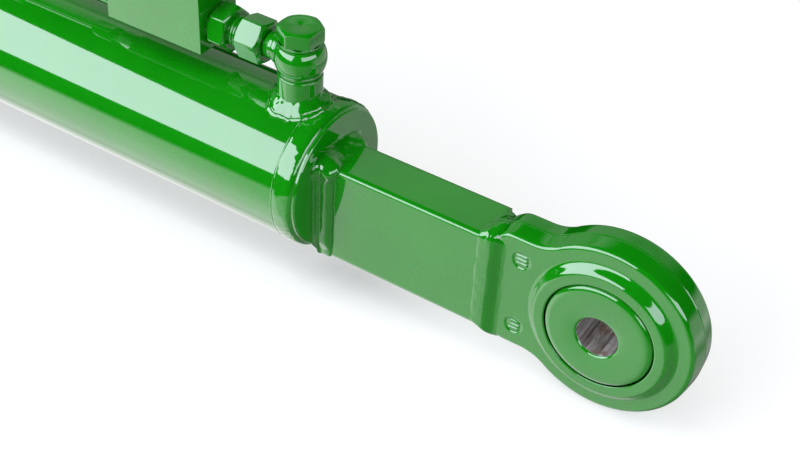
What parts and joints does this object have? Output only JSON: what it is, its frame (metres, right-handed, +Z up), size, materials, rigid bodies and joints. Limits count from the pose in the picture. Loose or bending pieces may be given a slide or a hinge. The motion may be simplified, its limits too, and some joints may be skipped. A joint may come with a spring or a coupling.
{
  "type": "hydraulic lower link stabilizer",
  "caption": "Double-acting hydraulic cylinder with a ball eye at each end and a check valve block on its pipework, holding a tractor's lower link at a set width.",
  "frame": {"origin": "centre of the base ball, on the axis of its pin bore", "axes": "+X from the rod end towards the base eye, along the cylinder; +Y along the ball's bore, away from the side the picture shows; +Z up, towards the valve block"},
  "size_m": [0.5763, 0.0712, 0.1554],
  "materials": {
    "green_paint": "deep gloss paint",
    "pin_steel": "bare and slightly rusted",
    "machined_steel": "turned",
    "rod_chrome": "ground and chromed",
    "seal_rubber": "matt",
    "guide_plastic": "fabric-filled resin",
    "spring_steel": "drawn wire"
  },
  "bodies": {
    "cylinder": {"eye_forging": "green_paint", "eye_weld": "green_paint", "flat_bar": "green_paint", "bar_weld": "green_paint", "end_cap": "green_paint", "end_cap_weld": "green_paint", "barrel_tube": "green_paint", "base_port_boss": "green_paint", "base_port_weld": "green_paint", "base_banjo_bolt": "green_paint", "base_banjo_washers": "green_paint", "base_banjo": "green_paint", "base_union_nut": "green_paint", "base_adapter": "green_paint", "base_adapter_seal": "green_paint", "valve_block": "green_paint", "base_valve_seat": "machined_steel", "rod_valve_seat": "machined_steel", "base_poppet_spring": "spring_steel", "rod_poppet_spring": "spring_steel", "base_valve_plug": "green_paint", "rod_valve_plug": "green_paint", "rod_adapter_seal": "green_paint", "rod_adapter": "green_paint", "rod_union_nut": "green_paint", "rod_cutting_ring": "machined_steel", "rod_pipe": "green_paint", "rod_banjo": "green_paint", "rod_banjo_bolt": "green_paint", "rod_banjo_washers": "green_paint", "rod_port_boss": "green_paint", "rod_port_weld": "green_paint", "gland_head": "green_paint", "gland_o_ring": "seal_rubber", "rod_guide_ring": "guide_plastic", "rod_seal": "seal_rubber", "rod_wiper": "seal_rubber"},
    "base_ball": {"base_ball": "green_paint"},
    "rod": {"piston": "machined_steel", "piston_seal": "seal_rubber", "piston_guide_rings": "guide_plastic", "piston_nut": "machined_steel", "piston_rod": "rod_chrome", "rod_eye_weld": "green_paint", "rod_eye_forging": "green_paint"},
    "rod_ball": {"rod_ball": "green_paint"},
    "pilot_piston": {"pilot_piston": "machined_steel"},
    "base_poppet": {"base_poppet": "machined_steel"},
    "rod_poppet": {"rod_poppet": "machined_steel"}
  },
  "joints": [
    {"name": "rod_stroke", "type": "slide", "parent": "cylinder", "child": "rod", "axis": [-1, 0, 0], "range_m": [0, 0.15]},
    {"name": "base_ball_swivel", "type": "hinge", "parent": "cylinder", "child": "base_ball", "pos_m": [0, 0, 0], "axis": [0, 0, 1], "range_deg": [-12, 12]},
    {"name": "rod_ball_swivel", "type": "hinge", "parent": "rod", "child": "rod_ball", "pos_m": [-0.4909, 0, 0.011], "axis": [0, 0, 1], "range_deg": [-12, 12]},
    {"name": "pilot_piston_shift", "type": "slide", "parent": "cylinder", "child": "pilot_piston", "axis": [1, 0, 0], "range_m": [-0.0008, 0.0008]},
    {"name": "base_poppet_lift", "type": "slide", "parent": "cylinder", "child": "base_poppet", "axis": [1, 0, 0], "range_m": [0, 0.0015], "stiffness_N_per_m": 300, "springref_m": -0.001, "deforming": ["base_poppet_spring"]},
    {"name": "rod_poppet_lift", "type": "slide", "parent": "cylinder", "child": "rod_poppet", "axis": [-1, 0, 0], "range_m": [0, 0.0015], "stiffness_N_per_m": 300, "springref_m": -0.001, "deforming": ["rod_poppet_spring"]}
  ]
}
